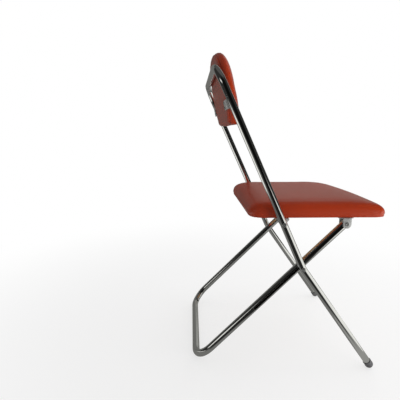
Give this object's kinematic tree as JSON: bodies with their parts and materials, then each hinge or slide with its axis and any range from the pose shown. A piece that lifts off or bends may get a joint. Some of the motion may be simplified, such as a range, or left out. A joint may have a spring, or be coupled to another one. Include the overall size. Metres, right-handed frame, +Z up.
{
  "type": "folding chair",
  "caption": "Padded folding side chair of chromed bent tube, whose cross frames close and whose seat flips up between the uprights.",
  "frame": {"origin": "on the floor under the middle of the unfolded chair", "axes": "+Z up, -Y forwards, the way a sitter faces, +X to the sitter's left"},
  "size_m": [0.4326, 0.495, 0.821],
  "materials": {
    "chromed_tube": "polished",
    "zinc_plate": "satin",
    "zinc_fastener": "satin",
    "rubber_tip": "matt",
    "leatherette": "satin grained",
    "foam": "matt",
    "plywood": "raw"
  },
  "bodies": {
    "frame": {"upright_frame": "chromed_tube", "foot_tip_left": "rubber_tip", "crossing_rivet_left": "zinc_fastener", "crossing_washer_left": "zinc_fastener", "rear_pivot_rivet_left": "zinc_fastener", "backrest_rivet_left": "zinc_fastener", "backrest_screw_upper_left": "zinc_fastener", "backrest_screw_lower_left": "zinc_fastener", "backrest_bracket_left": "zinc_plate", "foot_tip_right": "rubber_tip", "crossing_rivet_right": "zinc_fastener", "crossing_washer_right": "zinc_fastener", "rear_pivot_rivet_right": "zinc_fastener", "backrest_rivet_right": "zinc_fastener", "backrest_screw_upper_right": "zinc_fastener", "backrest_screw_lower_right": "zinc_fastener", "backrest_bracket_right": "zinc_plate", "backrest_board": "plywood", "backrest_foam": "foam", "backrest_front_cover": "leatherette", "backrest_rear_cover": "leatherette"},
    "seat": {"seat_board": "plywood", "seat_foam": "foam", "seat_cover": "leatherette", "seat_rear_bracket_left": "zinc_plate", "seat_front_clevis_left": "zinc_plate", "front_pivot_rivet_left": "zinc_fastener", "rear_bracket_screw_front_left": "zinc_fastener", "rear_bracket_screw_rear_left": "zinc_fastener", "clevis_screw_front_left": "zinc_fastener", "clevis_screw_rear_left": "zinc_fastener", "seat_rear_bracket_right": "zinc_plate", "seat_front_clevis_right": "zinc_plate", "front_pivot_rivet_right": "zinc_fastener", "rear_bracket_screw_front_right": "zinc_fastener", "rear_bracket_screw_rear_right": "zinc_fastener", "clevis_screw_front_right": "zinc_fastener", "clevis_screw_rear_right": "zinc_fastener"},
    "legs": {"leg_frame": "chromed_tube"}
  },
  "joints": [
    {"name": "seat_fold", "type": "hinge", "parent": "frame", "child": "seat", "pos_m": [0, 0.02315, 0.3965], "axis": [-1, 0, 0], "range_deg": [0, 106]},
    {"name": "leg_fold", "type": "hinge", "parent": "seat", "child": "legs", "pos_m": [0, -0.13925, 0.3917], "axis": [-1, 0, 0], "range_deg": [-42.52, 0]}
  ],
  "couplings": [
    {"joint": "leg_fold", "follows": "seat_fold", "ratio": -0.401}
  ]
}
